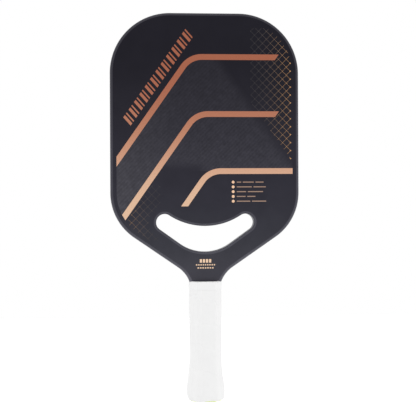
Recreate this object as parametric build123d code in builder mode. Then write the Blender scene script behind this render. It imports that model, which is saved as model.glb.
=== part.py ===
from build123d import *
import os
from math import atan2, cos, degrees, hypot, radians, sin, sqrt

# Pickleball paddle with an open throat, as the separate pieces that it is laminated, moulded and
# bonded from. +Z runs up the handle to the tip of the blade, +X runs across the blade, and the
# front face looks along -Y. The origin is on the centre line, at the lowest point of the butt end.
# All sizes are in millimetres.

os.makedirs("parts", exist_ok=True)

# ---- driving dimensions ------------------------------------------------------------------------
# Blade and tang outline
paddle_length = 406.4  # butt end to blade tip
blade_width = 197.9
top_corner_radius = 63.2
lower_corner_radius = 56.7
flank_angle = 34.5  # slope of the throat's outer flanks, in degrees from horizontal
neck_height = 130.4  # where the flanks, drawn on as straight lines, would meet the tang
neck_radius = 32.5  # concave curve between a flank and the tang
tang_width = 29.0

# Open throat
horn_spacing = 84.8  # between the centres of the two rounded ends of the opening
horn_height = 187.2
horn_radius = 8.9
throat_top_radius = 68.0
throat_bottom_radius = 45.0
throat_bottom_height = 156.25

# Laminate, from the face inwards
face_thickness = 16.0  # over the two finished faces
carbon_ply = 0.45
glass_ply = 0.35
core_scrim = 0.25

# Moulded walls
edge_radius = 3.0  # rounding of the outer edge
throat_edge_radius = 2.5  # rounding of the opening's edge
wall_web = 1.4  # thickness of the wall itself
wall_lap = 7.0  # how far a wall's flanges reach under the carbon sheets
foam_band = 7.6  # width of the foam strip inside the edge wall
joint_margin = 3.0  # foam kept between the throat wall and the cuts of the core board

# Honeycomb board
cell_pitch = 8.0
cell_wall = 0.5
board_border = 0.6  # solid rim left outside the outermost whole cells

# Handle
pallet_thickness = 4.2  # of each handle pallet, above the finished face
handle_bevel = 6.0  # leg of the octagon's corner bevels
bond_relief = 0.1  # depth of the sanded bonding zone under the pallets
grip_top = 125.6
grip_thickness = 2.2
tape_thickness = 0.3
tape_width = 9.0
tape_lip = 0.5  # tape folded over the ends of the pallets
tape_edge = 1.6  # softened upper edge of the tape
wrap_end_gap = 2.1  # distance from the tape's upper edge down to the end of the wrap
bond_line = 0.6  # width of sanded face left above the tape

# Butt cap
cap_floor = 9.0  # height at which the handle's end seats in the cap
cap_clearance = 0.1
skirt_wall = 0.5
skirt_top = 33.0
flare = 3.45  # how far the cap stands out from the handle at its widest
flare_height = 10.3
rim_taper = 0.9  # how far the cap and the wrap draw in again at the rim
rim_chamfer = 1.5
wrap_start = 2.4  # height at which the wrap begins above the end of the cap
medallion_radius = 9.0
medallion_depth = 1.6
medallion_clearance = 0.15
medallion_recess = 0.3

# Staples through the skirt of the cap, and adhesive strips under the wrap
staple_wire = 1.0
staple_crown = 10.0
staple_clearance = 0.13  # left between the tips of the legs and the sanded face
staple_height = 22.0
staple_proud = 0.3
strip_width = 12.0
strip_thickness = 0.2
strip_length = 60.0
strip_start = 45.0

# ---- values worked out from them -----------------------------------------------------------------
half_thickness = face_thickness / 2
half_tang = tang_width / 2
handle_depth = face_thickness + 2 * pallet_thickness  # over the two bonded pallets
glass_level = half_thickness - carbon_ply
scrim_level = glass_level - glass_ply
core_level = scrim_level - core_scrim  # half the thickness of the core board
seat_level = half_thickness - bond_relief  # where a pallet seats on the sanded face
bond_top = grip_top + bond_line
pallet_top = grip_top - tape_lip
wrap_top = grip_top - wrap_end_gap
core_bottom = horn_height + horn_radius + wall_lap + joint_margin
neck_joint = throat_bottom_height - wall_lap - joint_margin
board_inset = wall_web + foam_band
construction_tail = 20.0  # the outline is drawn this far past the handle's end, then cut square


# ---- outlines and shared forms ------------------------------------------------------------------
def paddle_outline(inset):
    """Blade, flanks, neck and tang as one face, drawn this far inside the paddle's edge.

    Every corner keeps its centre, so an inset only changes its radius."""
    normal_angle = flank_angle - 90
    normal_x = cos(radians(normal_angle))
    normal_z = sin(radians(normal_angle))
    top_centre = Vector(blade_width / 2 - top_corner_radius, paddle_length - top_corner_radius)
    neck_x = half_tang + neck_radius
    flank_distance = normal_x * half_tang + normal_z * neck_height
    low_x = blade_width / 2 - lower_corner_radius
    low_z = (flank_distance - lower_corner_radius - normal_x * low_x) / normal_z
    low_centre = Vector(low_x, low_z)
    neck_centre = Vector(neck_x, (flank_distance + neck_radius - normal_x * neck_x) / normal_z)
    tail = cap_floor - construction_tail
    with BuildSketch(mode=Mode.PRIVATE) as outline:
        with BuildLine():
            top_corner = CenterArc(top_centre, top_corner_radius - inset, 0, 90)
            low_corner = CenterArc(low_centre, lower_corner_radius - inset, 0, normal_angle)
            neck = CenterArc(neck_centre, neck_radius + inset, normal_angle + 180, -normal_angle)
            Line((0, paddle_length - inset), top_corner @ 1)
            Line(top_corner @ 0, low_corner @ 0)
            Line(low_corner @ 1, neck @ 0)
            side = Line(neck @ 1, (half_tang - inset, tail))
            Line(side @ 1, (0, tail))
            mirror(about=Plane.YZ)
        make_face()
    return outline.sketch


def throat_outline(growth):
    """The opening's outline as a face, grown outwards by this much.

    Two rounded horns are joined by an arc that dips between them, and by a wider arc below with
    the straight flanks that touch it."""
    horn = Vector(horn_spacing / 2, horn_height)
    rise = sqrt((throat_top_radius + horn_radius) ** 2 - horn.X**2)
    top_centre = Vector(0, horn_height + rise)
    low_centre = Vector(0, throat_bottom_height + throat_bottom_radius)
    to_top = degrees(atan2(top_centre.Y - horn.Y, -horn.X))
    reach = hypot(horn.X, horn.Y - low_centre.Y)
    lean = degrees(atan2(horn.Y - low_centre.Y, horn.X))
    spread = (throat_bottom_radius - horn_radius) / reach
    flank_normal = lean - degrees(atan2(sqrt(1 - spread**2), spread))
    with BuildSketch(mode=Mode.PRIVATE) as outline:
        with BuildLine():
            end = CenterArc(horn, horn_radius + growth, flank_normal, to_top - flank_normal)
            CenterArc(top_centre, throat_top_radius - growth, -90, to_top - 90)
            bottom = CenterArc(low_centre, throat_bottom_radius + growth, -90, flank_normal + 90)
            Line(bottom @ 1, end @ 0)
            mirror(about=Plane.YZ)
        make_face()
    return outline.sketch


def band(low, high):
    """A face wider than the blade between two heights, to keep one stretch of an outline."""
    with BuildSketch(mode=Mode.PRIVATE) as strip:
        with Locations((0, (low + high) / 2)):
            Rectangle(2 * blade_width, high - low)
    return strip.sketch


def handle_section(height, growth):
    """The handle's octagon at a height, grown by the same distance on all eight sides."""
    with BuildSketch(Plane.XY.offset(height), mode=Mode.PRIVATE) as section:
        Rectangle(tang_width + 2 * growth, handle_depth + 2 * growth)
        chamfer(section.vertices(), handle_bevel + (2 - sqrt(2)) * growth)
    return section.sketch


edge_line = paddle_outline(0)
web_line = paddle_outline(wall_web)
rebate_line = paddle_outline(edge_radius)
lap_line = paddle_outline(wall_lap)
board_line = paddle_outline(board_inset)

throat_line = throat_outline(0)
throat_web_line = throat_outline(wall_web)
throat_rebate_line = throat_outline(throat_edge_radius)
throat_lap_line = throat_outline(wall_lap)

# Everything below this plane is cut off square: it is where the handle's end meets the cap
handle_end = Plane.XY.offset(cap_floor)

# The whole paddle body without its opening, with its rounded edge
with BuildPart() as body_form:
    with BuildSketch(Plane.XZ):
        add(edge_line)
    extrude(amount=half_thickness, both=True)
    front_and_back = body_form.faces().sort_by(Axis.Y)
    fillet(front_and_back[0].edges() + front_and_back[-1].edges(), edge_radius)
    split(bisect_by=handle_end, keep=Keep.TOP)

# The sanded bonding zones on both sides of the tang
with BuildPart() as relief_form:
    for outer_level in (seat_level, -seat_level - bond_relief):
        with BuildSketch(Plane.XZ.offset(outer_level)):
            add(band(0, bond_top))
        extrude(amount=bond_relief)

# The whole octagonal handle, and the outside of the flared cap
with BuildPart() as handle_form:
    loft(sections=[handle_section(cap_floor, 0), handle_section(pallet_top, 0)], ruled=True)

with BuildPart() as cap_form:
    cap_sections = [
        handle_section(0, flare - rim_taper),
        handle_section(flare_height, flare),
        handle_section(skirt_top, skirt_wall),
    ]
    loft(sections=cap_sections, ruled=True)
    chamfer(cap_form.faces().sort_by(Axis.Z)[0].edges(), rim_chamfer)

# ---- moulded walls -------------------------------------------------------------------------------
# Channel round the blade and the tang: its web is the paddle's edge, and its two flanges lie
# under the carbon sheets, which end flush in a rebate where the rounding stops
with BuildPart() as edge_wall:
    add(body_form.part)
    with BuildSketch(Plane.XZ):
        add(web_line)
    extrude(amount=core_level, both=True, mode=Mode.SUBTRACT)
    with BuildSketch(Plane.XZ):
        add(lap_line)
    extrude(amount=half_thickness, both=True, mode=Mode.SUBTRACT)
    for rebate_level in (glass_level, -half_thickness):
        with BuildSketch(Plane.XZ.offset(rebate_level)):
            add(rebate_line)
        extrude(amount=carbon_ply, mode=Mode.SUBTRACT)
    add(relief_form.part, mode=Mode.SUBTRACT)
edge_wall.part.label = "edge_wall"
export_step(edge_wall.part, "parts/edge_wall.step")

# The same channel turned round the opening
with BuildPart() as throat_wall:
    with BuildSketch(Plane.XZ):
        add(throat_lap_line)
        add(throat_line, mode=Mode.SUBTRACT)
    extrude(amount=half_thickness, both=True)
    rim_faces = throat_wall.faces().sort_by(Axis.Y)
    rim_loops = [face.inner_wires()[0].edges() for face in (rim_faces[0], rim_faces[-1])]
    fillet(rim_loops[0] + rim_loops[1], throat_edge_radius)
    with BuildSketch(Plane.XZ):
        add(throat_lap_line)
        add(throat_web_line, mode=Mode.SUBTRACT)
    extrude(amount=core_level, both=True, mode=Mode.SUBTRACT)
    for rebate_level in (glass_level, -half_thickness):
        with BuildSketch(Plane.XZ.offset(rebate_level)):
            add(throat_lap_line)
            add(throat_rebate_line, mode=Mode.SUBTRACT)
        extrude(amount=carbon_ply, mode=Mode.SUBTRACT)
throat_wall.part.label = "throat_wall"
export_step(throat_wall.part, "parts/throat_wall.step")


# ---- flat layers ---------------------------------------------------------------------------------
def flat_layer(level, thickness, outer, inner):
    """A sheet between two outlines, from a level out along the front face's direction."""
    with BuildPart(mode=Mode.PRIVATE) as layer:
        with BuildSketch(Plane.XZ.offset(level)):
            add(outer)
            add(inner, mode=Mode.SUBTRACT)
        extrude(amount=thickness)
        split(bisect_by=handle_end, keep=Keep.TOP)
    return layer.part


layers = [
    ("face_ply", glass_level, carbon_ply, rebate_line, throat_rebate_line),
    ("glass_ply", scrim_level, glass_ply, lap_line, throat_lap_line),
    ("core_scrim", core_level, core_scrim, lap_line, throat_lap_line),
]
for layer_name, inner_level, thickness, outer, inner in layers:
    for side, level in (("front", inner_level), ("back", -inner_level - thickness)):
        with BuildPart() as sheet:
            add(flat_layer(level, thickness, outer, inner))
            add(relief_form.part, mode=Mode.SUBTRACT)
        sheet.part.label = f"{side}_{layer_name}"
        export_step(sheet.part, f"parts/{side}_{layer_name}.step")

# ---- core ----------------------------------------------------------------------------------------
# Honeycomb board of the blade, with every cell that fits whole inside its border
cell_zone = paddle_outline(board_inset + board_border + cell_pitch / sqrt(3)).face()
cell_columns = 2 * int(blade_width / cell_pitch / sqrt(3)) + 3
cell_rows = int((paddle_length - core_bottom) / cell_pitch) + 1
lowest_cell = core_bottom + board_border + cell_pitch / sqrt(3)
board_middle = (core_bottom + paddle_length) / 2

with BuildSketch() as board_blank:
    add(board_line)
    add(band(core_bottom, paddle_length), mode=Mode.INTERSECT)

with BuildSketch() as cells:
    with Locations((0, board_middle)):
        with HexLocations(cell_pitch / 2, cell_columns, cell_rows) as grid:
            centres = [location.position for location in grid.locations]
    with Locations(*[c for c in centres if c.Y > lowest_cell and cell_zone.is_inside(c)]):
        RegularPolygon((cell_pitch - cell_wall) / 2, 6, major_radius=False)

# The cells are separate hexagons, so the board's face takes them directly as its inner wires
board_face = Face(board_blank.face().outer_wire(), [cell.outer_wire() for cell in cells.faces()])
with BuildPart() as honeycomb_core:
    with BuildSketch(Plane.XZ.offset(-core_level)):
        add(board_face)
    extrude(amount=2 * core_level, clean=False)
honeycomb_core.part.label = "honeycomb_core"
export_step(honeycomb_core.part, "parts/honeycomb_core.step")

# Foam strip between the board and the edge wall
with BuildPart() as perimeter_foam:
    with BuildSketch(Plane.XZ):
        add(web_line)
        add(board_line, mode=Mode.SUBTRACT)
        add(band(core_bottom, paddle_length), mode=Mode.INTERSECT)
    extrude(amount=core_level, both=True)
perimeter_foam.part.label = "perimeter_foam"
export_step(perimeter_foam.part, "parts/perimeter_foam.step")

# Foam block of the throat, from the board down round the opening to the neck
with BuildPart() as throat_foam:
    with BuildSketch(Plane.XZ):
        add(web_line)
        add(band(neck_joint, core_bottom), mode=Mode.INTERSECT)
        add(throat_web_line, mode=Mode.SUBTRACT)
    extrude(amount=core_level, both=True)
throat_foam.part.label = "throat_foam"
export_step(throat_foam.part, "parts/throat_foam.step")

# Stiff core of the neck and the tang
with BuildPart() as handle_core:
    with BuildSketch(Plane.XZ):
        add(web_line)
        add(band(cap_floor, neck_joint), mode=Mode.INTERSECT)
    extrude(amount=core_level, both=True)
handle_core.part.label = "handle_core"
export_step(handle_core.part, "parts/handle_core.step")


# ---- staples and adhesive ------------------------------------------------------------------------
def cap_growth(height):
    """How far the cap's flared skirt stands out from the handle's octagon at a height."""
    share = (height - flare_height) / (skirt_top - flare_height)
    return flare + share * (skirt_wall - flare)


# One staple in the front and one in the back, with their crowns across the skirt
with BuildPart() as butt_cap_staples:
    crown_level = handle_depth / 2 + cap_growth(staple_height) + staple_proud
    leg_length = crown_level - staple_wire - seat_level - staple_clearance
    leg_offset = (staple_crown - staple_wire) / 2
    with BuildSketch(Plane.XZ.offset(crown_level - staple_wire)):
        with Locations((0, staple_height)):
            Rectangle(staple_crown, staple_wire)
    extrude(amount=staple_wire)
    with BuildSketch(Plane.XZ.offset(seat_level + staple_clearance)):
        with Locations((-leg_offset, staple_height), (leg_offset, staple_height)):
            Rectangle(staple_wire, staple_wire)
    extrude(amount=leg_length)
    mirror(about=Plane.XZ)
butt_cap_staples.part.label = "butt_cap_staples"
export_step(butt_cap_staples.part, "parts/butt_cap_staples.step")

# Double-sided strips along the front and the back of the handle
with BuildPart() as grip_adhesive_strips:
    for strip_level in (handle_depth / 2, -handle_depth / 2 - strip_thickness):
        with BuildSketch(Plane.XZ.offset(strip_level)):
            with Locations((0, strip_start + strip_length / 2)):
                Rectangle(strip_width, strip_length)
        extrude(amount=strip_thickness)
grip_adhesive_strips.part.label = "grip_adhesive_strips"
export_step(grip_adhesive_strips.part, "parts/grip_adhesive_strips.step")

# ---- handle pallets ------------------------------------------------------------------------------
for side, keep_plane in (("front", Plane.XZ), ("back", Plane.ZX)):
    with BuildPart() as pallet:
        add(handle_form.part)
        split(bisect_by=keep_plane.offset(seat_level), keep=Keep.TOP)
        add(butt_cap_staples.part, mode=Mode.SUBTRACT)
    pallet.part.label = f"{side}_handle_pallet"
    export_step(pallet.part, f"parts/{side}_handle_pallet.step")

# ---- butt cap ------------------------------------------------------------------------------------
# Flared cup over the handle's end, with a round recess in its end face
with BuildPart() as butt_cap:
    add(cap_form.part)
    pocket_ends = [
        handle_section(cap_floor, cap_clearance),
        handle_section(skirt_top, cap_clearance),
    ]
    loft(sections=pocket_ends, ruled=True, mode=Mode.SUBTRACT)
    with BuildSketch(Plane.XY):
        Circle(medallion_radius + medallion_clearance)
    extrude(amount=medallion_recess + medallion_depth, mode=Mode.SUBTRACT)
    add(butt_cap_staples.part, mode=Mode.SUBTRACT)
butt_cap.part.label = "butt_cap"
export_step(butt_cap.part, "parts/butt_cap.step")

# Blank disc seated in that recess, just below the rim, with a softened edge
with BuildPart() as butt_cap_medallion:
    with BuildSketch(Plane.XY.offset(medallion_recess)):
        Circle(medallion_radius)
    extrude(amount=medallion_depth)
    chamfer(butt_cap_medallion.faces().sort_by(Axis.Z)[0].edges(), medallion_depth / 4)
butt_cap_medallion.part.label = "butt_cap_medallion"
export_step(butt_cap_medallion.part, "parts/butt_cap_medallion.step")

# ---- wrap and finishing tape ---------------------------------------------------------------------
# Cushioned wrap: a sleeve over the handle and the flared cap
with BuildPart() as cushion_grip:
    wrap_sections = [
        handle_section(wrap_start, flare + grip_thickness - rim_taper),
        handle_section(flare_height, flare + grip_thickness),
        handle_section(skirt_top, skirt_wall + grip_thickness),
        handle_section(strip_start, grip_thickness),
        handle_section(wrap_top, grip_thickness),
    ]
    loft(sections=wrap_sections, ruled=True)
    add(handle_form.part, mode=Mode.SUBTRACT)
    add(cap_form.part, mode=Mode.SUBTRACT)
    add(body_form.part, mode=Mode.SUBTRACT)
    add(butt_cap_staples.part, mode=Mode.SUBTRACT)
    add(grip_adhesive_strips.part, mode=Mode.SUBTRACT)
cushion_grip.part.label = "cushion_grip"
export_step(cushion_grip.part, "parts/cushion_grip.step")

# Tape round the end of the wrap, folded over the ends of the pallets up to the neck
with BuildPart() as finishing_tape:
    tape_growth = grip_thickness + tape_thickness
    tape_ends = [
        handle_section(grip_top - tape_width, tape_growth),
        handle_section(grip_top, tape_growth),
    ]
    loft(sections=tape_ends, ruled=True)
    chamfer(finishing_tape.faces().sort_by(Axis.Z)[-1].edges(), tape_edge)
    wrap_ends = [
        handle_section(grip_top - tape_width, grip_thickness),
        handle_section(wrap_top, grip_thickness),
    ]
    loft(sections=wrap_ends, ruled=True, mode=Mode.SUBTRACT)
    add(handle_form.part, mode=Mode.SUBTRACT)
    add(body_form.part, mode=Mode.SUBTRACT)
finishing_tape.part.label = "finishing_tape"
export_step(finishing_tape.part, "parts/finishing_tape.step")
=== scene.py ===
# %% [markdown]
# # A pickleball paddle with an open throat
# The paddle is a flat sandwich: two carbon faces over a honeycomb board, moulded walls round the
# rim and round the opening, and a flared eight-sided handle in a cushioned wrap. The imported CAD
# model brings every piece at its real size. This script gives each visible piece its final
# surface and finish, in the same frame: metres, +Z up the handle, the front face towards -Y.

# %% Load the frame
import math

import bmesh
import bpy
import numpy as np
from mathutils import Matrix, Vector


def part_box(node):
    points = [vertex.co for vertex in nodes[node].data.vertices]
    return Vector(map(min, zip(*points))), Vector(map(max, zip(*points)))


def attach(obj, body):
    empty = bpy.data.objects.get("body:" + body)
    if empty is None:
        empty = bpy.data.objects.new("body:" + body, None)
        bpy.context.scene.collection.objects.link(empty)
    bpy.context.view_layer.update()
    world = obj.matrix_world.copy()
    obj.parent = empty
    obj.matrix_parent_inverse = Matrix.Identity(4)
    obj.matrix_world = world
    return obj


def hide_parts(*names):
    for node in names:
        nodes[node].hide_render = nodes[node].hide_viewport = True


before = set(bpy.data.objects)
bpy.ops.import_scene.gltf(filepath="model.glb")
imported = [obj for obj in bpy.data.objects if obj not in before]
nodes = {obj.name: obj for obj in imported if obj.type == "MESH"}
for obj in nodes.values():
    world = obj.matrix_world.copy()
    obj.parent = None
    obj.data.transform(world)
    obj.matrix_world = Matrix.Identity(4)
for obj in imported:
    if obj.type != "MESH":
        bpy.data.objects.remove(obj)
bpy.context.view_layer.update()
MM = 0.001

# %% [markdown]
# ## Helpers
# Colours are chosen the way a screen shows them, as sRGB hex values, and Blender wants them
# linear, so one function turns them. One more function adds a node with its settings and links,
# which keeps every material down to the lines that matter.

# %% Colour, node and material helpers
def linear(code):
    """An sRGB hex colour such as "#B87050" as linear red, green, blue and alpha."""
    parts = [int(code[i : i + 2], 16) / 255 for i in (1, 3, 5)]
    return [c / 12.92 if c <= 0.04045 else ((c + 0.055) / 1.055) ** 2.4 for c in parts] + [1.0]


def add(tree, kind, inputs=None, steps=None, **settings):
    """Adds a node, sets its properties, fills or links its inputs, and returns the node.

    steps are a colour ramp's (position, hex colour) stops, smoothed when there are over three."""
    made = tree.nodes.new("ShaderNode" + kind)
    for name, value in settings.items():
        setattr(made, name, value)
    for socket, value in (inputs or {}).items():
        if isinstance(value, bpy.types.NodeSocket):
            tree.links.new(value, made.inputs[socket])
        else:
            made.inputs[socket].default_value = value
    if steps:
        made.color_ramp.interpolation = "B_SPLINE" if len(steps) > 3 else "LINEAR"
        elements = made.color_ramp.elements
        while len(elements) < len(steps):
            elements.new(0.5)
        for element, (position, code) in zip(elements, steps):
            element.position = position
            element.color = linear(code)
    return made


def new_material(name, values):
    """A Principled material. Values that are the same all over go straight on its sockets."""
    material = bpy.data.materials.new(name)
    material.use_nodes = True
    tree = material.node_tree
    shader = tree.nodes["Principled BSDF"]
    for socket, value in values.items():
        shader.inputs[socket].default_value = value
    return material, tree, shader


def connect(tree, source, shader, socket):
    """Links one output to a socket of the shader."""
    tree.links.new(source, shader.inputs[socket])


# %% [markdown]
# ## Mesh helper
# Every new piece is a set of points worked out with numpy. The helper turns points and faces into
# a mesh, welds points that fall together at poles and seams, turns all faces outwards, and keeps
# edges crisp only where the surface really turns a corner.

# %% Mesh helpers
def make_piece(name, points, faces, material, crisp_angle=35.0):
    """A welded mesh object with outward faces, smooth except at edges over the crisp angle."""
    mesh = bpy.data.meshes.new(name)
    mesh.from_pydata(np.asarray(points, float).reshape(-1, 3).tolist(), [], faces)
    work = bmesh.new()
    work.from_mesh(mesh)
    bmesh.ops.remove_doubles(work, verts=work.verts, dist=1e-7)
    bmesh.ops.recalc_face_normals(work, faces=work.faces)
    work.to_mesh(mesh)
    work.free()
    mesh.shade_smooth()
    mesh.set_sharp_from_angle(angle=math.radians(crisp_angle))
    mesh.materials.append(material)
    piece = bpy.data.objects.new(name, mesh)
    bpy.context.scene.collection.objects.link(piece)
    return piece


def grid_faces(rows, columns, wrap_rows=False, wrap_columns=True):
    """Quads of a grid of points, joined round in either direction where asked."""
    i = np.arange(rows if wrap_rows else rows - 1)[:, None]
    j = np.arange(columns if wrap_columns else columns - 1)[None, :]
    i_next = (i + 1) % rows
    j_next = (j + 1) % columns
    corners = (i * columns + j, i * columns + j_next, i_next * columns + j_next, i_next * columns + j)
    return np.stack([c.ravel() for c in np.broadcast_arrays(*corners)], axis=1).tolist()


# %% [markdown]
# ## Camera
# A long lens about a metre away sees the paddle almost square on: it stands a few degrees to the
# left of the face, level with the middle of the paddle, and leans by a quarter of a degree.

# %% Camera
aim = Vector((3.4, 0.0, 202.2)) * MM
camera_distance = 1.0
camera_yaw = math.radians(3.94)
camera_roll = math.radians(-0.261)
view_width = 0.4387  # metres seen across the picture at the aim's distance
sensor_width = 36.0

ahead = Vector((math.sin(camera_yaw), math.cos(camera_yaw), 0.0))
level_right = Vector((math.cos(camera_yaw), -math.sin(camera_yaw), 0.0))
level_up = Vector((0.0, 0.0, 1.0))
right = level_right * math.cos(camera_roll) + level_up * math.sin(camera_roll)
up = level_up * math.cos(camera_roll) - level_right * math.sin(camera_roll)

camera_data = bpy.data.cameras.new("camera")
camera_data.sensor_width = sensor_width
camera_data.lens = sensor_width * camera_distance / view_width
camera = bpy.data.objects.new("camera", camera_data)
camera.matrix_world = Matrix.Translation(aim - ahead * camera_distance) @ Matrix(
    (right, up, -ahead)
).transposed().to_4x4()
bpy.context.scene.collection.objects.link(camera)
bpy.context.scene.camera = camera
print("lens", round(camera_data.lens, 2), "mm")

# %% [markdown]
# ## Studio
# The paddle floats in a white studio. The surroundings are white to the camera and to anything
# glossy, and light the paddle a little less from all sides. Three soft lamps do the modelling: one
# in front and above, and one at each side, the right one the stronger.

# %% Floor, surroundings and lamps
bpy.context.scene.view_settings.view_transform = "Standard"


def seen_directly(tree):
    """The kinds of ray, and a number that is 1 for what the camera or a glossy surface sees."""
    rays = add(tree, "LightPath").outputs
    pair = {0: rays["Is Camera Ray"], 1: rays["Is Glossy Ray"]}
    return rays, add(tree, "Math", pair, operation="MAXIMUM").outputs[0]


floor_size = 6.0
floor_level = -0.26
floor_material, tree, shader = new_material("pale_floor_paint", {"Roughness": 0.9, "IOR": 1.3})
grain = add(tree, "TexNoise", {"Scale": 40.0, "Detail": 3.0}).outputs["Fac"]
tone = add(tree, "ValToRGB", {"Fac": grain}, steps=[(0.3, "#F4F4F4"), (0.7, "#F8F8F8")])
connect(tree, tone.outputs["Color"], shader, "Base Color")
_, seen = seen_directly(tree)
glow = add(tree, "Emission", {"Color": (1, 1, 1, 1), "Strength": 0.35})
dark = add(tree, "Emission", {"Color": (0, 0, 0, 1), "Strength": 0.0})
lift = add(tree, "MixShader", {0: seen, 1: dark.outputs[0], 2: glow.outputs[0]})
total = add(tree, "AddShader", {0: shader.outputs[0], 1: lift.outputs[0]})
tree.links.new(total.outputs[0], tree.nodes["Material Output"].inputs["Surface"])

floor_mesh = bpy.data.meshes.new("floor")
half = floor_size / 2
corners = [(-half, -half), (half, -half), (half, half), (-half, half)]
floor_mesh.from_pydata([(x, y, floor_level) for x, y in corners], [], [(0, 1, 2, 3)])
floor_mesh.materials.append(floor_material)
floor = bpy.data.objects.new("floor", floor_mesh)
bpy.context.scene.collection.objects.link(floor)

ambient_strength = 0.96
world = bpy.data.worlds.new("white_studio")
world.use_nodes = True
tree = world.node_tree
rays, seen = seen_directly(tree)
seen = add(tree, "Math", {0: seen, 1: rays["Is Transmission Ray"]}, operation="MAXIMUM").outputs[0]
strength = add(
    tree, "MapRange", {"Value": seen, "To Min": ambient_strength, "To Max": 1.0}
).outputs[0]
background = tree.nodes["Background"]
background.inputs["Color"].default_value = (1, 1, 1, 1)
tree.links.new(strength, background.inputs["Strength"])
bpy.context.scene.world = world


def soft_lamp(name, place, size, power):
    """A square area lamp aimed at the middle of the paddle."""
    data = bpy.data.lights.new(name, "AREA")
    data.shape = "SQUARE"
    data.size = size
    data.energy = power
    lamp = bpy.data.objects.new(name, data)
    direction = aim - Vector(place)
    lamp.matrix_world = (
        Matrix.Translation(place) @ direction.to_track_quat("-Z", "Y").to_matrix().to_4x4()
    )
    bpy.context.scene.collection.objects.link(lamp)
    return lamp


soft_lamp("top_lamp", (-0.2, -0.5, 1.5), 0.8, 1.0)
soft_lamp("left_lamp", (-1.1, -0.25, 0.2), 0.7, 0.5)
soft_lamp("right_lamp", (1.1, -0.2, 0.2), 0.7, 0.9)

# %% [markdown]
# ## Finishes of the blade
# The faces are carbon cloth in a 2/2 twill under a matt black coat. Each tow is about a millimetre
# wide and passes over two others and under two, one step further along in every row. The pattern
# is worked out from the cell that a point lies in, so it needs no image: cell column minus cell
# row, counted in fours, says which tow is on top.

# %% Twill pattern shared by the carbon finishes
tow_width = 1.1 * MM


def object_axes(tree):
    """Object coordinates in metres, whole and split into X, Y and Z."""
    place = add(tree, "TexCoord").outputs["Object"]
    return place, add(tree, "SeparateXYZ", {0: place}).outputs


def twill(tree):
    """Which tow is on top (0 or 1) and the rounded height across it, from Object X and Z."""
    place, axes = object_axes(tree)
    cells, parts = [], []
    for axis in ("X", "Z"):
        scaled = add(tree, "Math", {0: axes[axis], 1: tow_width}, operation="DIVIDE").outputs[0]
        cells.append(add(tree, "Math", {0: scaled}, operation="FLOOR").outputs[0])
        parts.append(add(tree, "Math", {0: scaled}, operation="FRACT").outputs[0])
    step = add(tree, "Math", {0: cells[0], 1: cells[1]}, operation="SUBTRACT").outputs[0]
    phase = add(tree, "Math", {0: step, 1: 4.0}, operation="FLOORED_MODULO").outputs[0]
    on_top = add(tree, "Math", {0: phase, 1: 1.5}, operation="LESS_THAN").outputs[0]
    across = add(tree, "Mix", {"Factor": on_top, "A": parts[1], "B": parts[0]}).outputs["Result"]
    centred = add(tree, "Math", {0: across, 1: 0.5}, operation="SUBTRACT").outputs[0]
    squared = add(tree, "Math", {0: centred, 1: centred}, operation="MULTIPLY").outputs[0]
    height = add(
        tree, "Math", {0: squared, 1: -4.0, 2: 1.0}, operation="MULTIPLY_ADD"
    ).outputs[0]
    return place, axes, on_top, height


# %% [markdown]
# The plain areas are coated black with a cool violet cast. Its colour is painted darker at the tip
# and lighter towards the handle: painted shading for the brighter light that the lower part of the
# face reflects. The cloth itself only shows as a slight relief, broken up by the fine grit that
# gives the face its bite on the ball. Paint this matt mirrors very little, so its specular level
# is low, and a roughness of a half spreads what it does mirror.

# %% Matt black coat over carbon twill
coat_values = {
    "Roughness": 0.5,
    "Specular IOR Level": 0.12,
    "Specular Tint": linear("#E8E4FF"),
}
# Painted shading: the coat's colour gets lighter from the upper height down to the lower one.
coat_shade_low, coat_shade_high = 0.130, 0.400  # heights between which the coat's colour runs
coat_painted_shade_run = [
    (0.0, "#434249"),
    (0.12, "#38393F"),
    (0.29, "#2D2C34"),
    (0.48, "#29282F"),
    (0.70, "#1F1E24"),
    (0.85, "#18171D"),
    (1.0, "#1A191F"),
]


def coat_colour_with_painted_shade(tree, axes):
    """The coat's colour at a height on the blade, with painted shading: darker at the tip, lighter towards
    the handle.
    """
    share = add(
        tree, "MapRange", {"Value": axes["Z"], "From Min": coat_shade_low, "From Max": coat_shade_high}
    ).outputs[0]
    return add(tree, "ValToRGB", {"Fac": share}, steps=coat_painted_shade_run).outputs["Color"]


def coat_relief(tree, height, tow_depth, grit_depth):
    """Bump of the rounded tows plus the sprayed grit, with depths in metres."""
    tows = add(tree, "Bump", {"Height": height, "Strength": 1.0, "Distance": tow_depth})
    grit = add(tree, "TexNoise", {"Scale": 1900.0, "Detail": 2.0, "Roughness": 0.6})
    return add(
        tree,
        "Bump",
        {
            "Height": grit.outputs["Fac"],
            "Strength": 1.0,
            "Distance": grit_depth,
            "Normal": tows.outputs[0],
        },
    ).outputs[0]


def mottle(tree, place, scale, low, high):
    """A soft random number between low and high, for uneven tone."""
    noise = add(tree, "TexNoise", {"Vector": place, "Scale": scale, "Detail": 4.0})
    return add(
        tree,
        "MapRange",
        {"Value": noise.outputs["Fac"], "From Min": 0.3, "From Max": 0.7, "To Min": low, "To Max": high},
    ).outputs[0]


black_coat, tree, shader = new_material("matt_black_coated_carbon", coat_values)
place, axes, on_top, height = twill(tree)
gain = mottle(tree, place, 55.0, 0.92, 1.08)
toned = add(tree, "VectorMath", {0: coat_colour_with_painted_shade(tree, axes), "Scale": gain}, operation="SCALE")
connect(tree, toned.outputs[0], shader, "Base Color")
connect(tree, coat_relief(tree, height, 0.008 * MM, 0.01 * MM), shader, "Normal")

# %% [markdown]
# Between the printed stripes the coat is left thinner and greyer, so the cloth shows. Tows that
# run up the blade and tows that run across it catch the light differently, which is drawn here as
# two near greys, and the cloth's own unevenness as soft blotches a few millimetres across. The
# thin coat fades into the full one along a slanting line on the right of the blade, and again at
# its foot, between the middle stripe's climb and the lower stripe's bend.

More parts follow.
